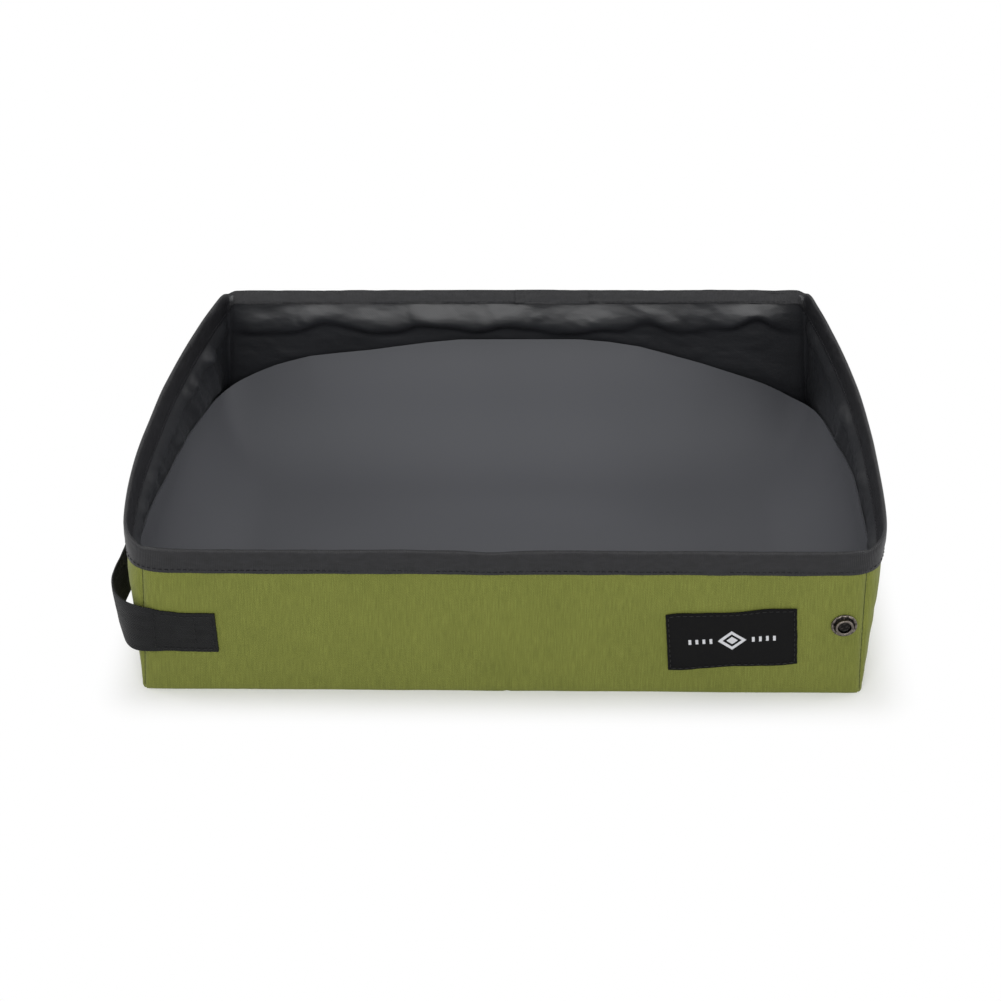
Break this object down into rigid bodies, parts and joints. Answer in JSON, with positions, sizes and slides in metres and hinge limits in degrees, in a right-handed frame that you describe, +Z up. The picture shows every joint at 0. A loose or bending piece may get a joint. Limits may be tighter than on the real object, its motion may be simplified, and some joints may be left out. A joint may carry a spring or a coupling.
{
  "type": "foldable litter box",
  "caption": "Open rectangular fabric litter box with boarded front, back and base, soft bowed sides, bound rim, loose floor liner and a snap strap; folds flat and in half.",
  "frame": {"origin": "middle of the underside, on the mid crease", "axes": "+X along the front wall to the right, +Y from the front wall to the back wall, +Z up"},
  "size_m": [0.4351, 0.3045, 0.0977],
  "materials": {
    "green_canvas": "slubbed woven polyester canvas",
    "black_lining": "coated waterproof taffeta",
    "binding_tape": "folded woven binding tape",
    "grey_liner": "smooth coated sheet",
    "stiffener_board": "plain board",
    "webbing": "woven webbing",
    "label_weave": "woven satin label",
    "gunmetal": "gunmetal plating"
  },
  "bodies": {
    "base_left": {"base_board_left": "stiffener_board", "bottom_cover_left": "green_canvas", "bottom_spine": "green_canvas", "floor_lining_left": "black_lining", "floor_liner_left": "grey_liner", "side_cover_left": "green_canvas", "side_lining_left": "black_lining", "side_binding_left": "binding_tape"},
    "base_right": {"base_board_right": "stiffener_board", "bottom_cover_right": "green_canvas", "floor_lining_right": "black_lining", "floor_liner_right": "grey_liner", "side_cover_right": "green_canvas", "side_lining_right": "black_lining", "side_binding_right": "binding_tape"},
    "front_left": {"front_cover_left": "green_canvas", "front_board_left": "stiffener_board", "front_lining_left": "black_lining", "front_binding_left": "binding_tape", "strap_sewn_end": "webbing", "strap_bend": "webbing"},
    "front_right": {"front_cover_right": "green_canvas", "front_board_right": "stiffener_board", "front_lining_right": "black_lining", "front_binding_right": "binding_tape", "press_stud": "gunmetal", "stud_washer": "gunmetal", "woven_label": "label_weave"},
    "back_left": {"back_cover_left": "green_canvas", "back_board_left": "stiffener_board", "back_lining_left": "black_lining", "back_binding_left": "binding_tape"},
    "back_right": {"back_cover_right": "green_canvas", "back_board_right": "stiffener_board", "back_lining_right": "black_lining", "back_binding_right": "binding_tape", "binding_joint_patch": "binding_tape"},
    "strap": {"strap_tail": "webbing", "snap_socket": "gunmetal", "snap_cap": "gunmetal"}
  },
  "joints": [
    {"name": "walls_fold", "type": "hinge", "parent": "base_left", "child": "front_left", "pos_m": [0, -0.1452, 0.0071], "axis": [-1, 0, 0], "range_deg": [0, 90], "deforming": ["side_cover_left", "side_lining_left", "side_binding_left", "floor_liner_left", "side_cover_right", "side_lining_right", "side_binding_right", "floor_liner_right"]},
    {"name": "back_wall_fold", "type": "hinge", "parent": "base_left", "child": "back_left", "pos_m": [0, 0.1452, 0.0071], "axis": [1, 0, 0], "range_deg": [0, 90]},
    {"name": "halves_fold", "type": "hinge", "parent": "base_left", "child": "base_right", "pos_m": [0, 0, 0.0143], "axis": [0, -1, 0], "range_deg": [0, 180], "deforming": ["bottom_spine"]},
    {"name": "front_crease", "type": "hinge", "parent": "front_left", "child": "front_right", "pos_m": [0, -0.1524, 0], "axis": [0, 0, -1], "range_deg": [0, 180]},
    {"name": "back_crease", "type": "hinge", "parent": "back_left", "child": "back_right", "pos_m": [0, 0.1524, 0], "axis": [0, 0, 1], "range_deg": [0, 180]},
    {"name": "strap_swing", "type": "hinge", "parent": "front_left", "child": "strap", "pos_m": [-0.21925, -0.15075, 0.0405], "axis": [0, 0, 1], "range_deg": [0, 90], "deforming": ["strap_bend"]}
  ],
  "couplings": [
    {"joint": "back_wall_fold", "follows": "walls_fold", "ratio": 1},
    {"joint": "strap_swing", "follows": "walls_fold", "ratio": 1},
    {"joint": "front_crease", "follows": "halves_fold", "ratio": 1},
    {"joint": "back_crease", "follows": "halves_fold", "ratio": 1}
  ]
}
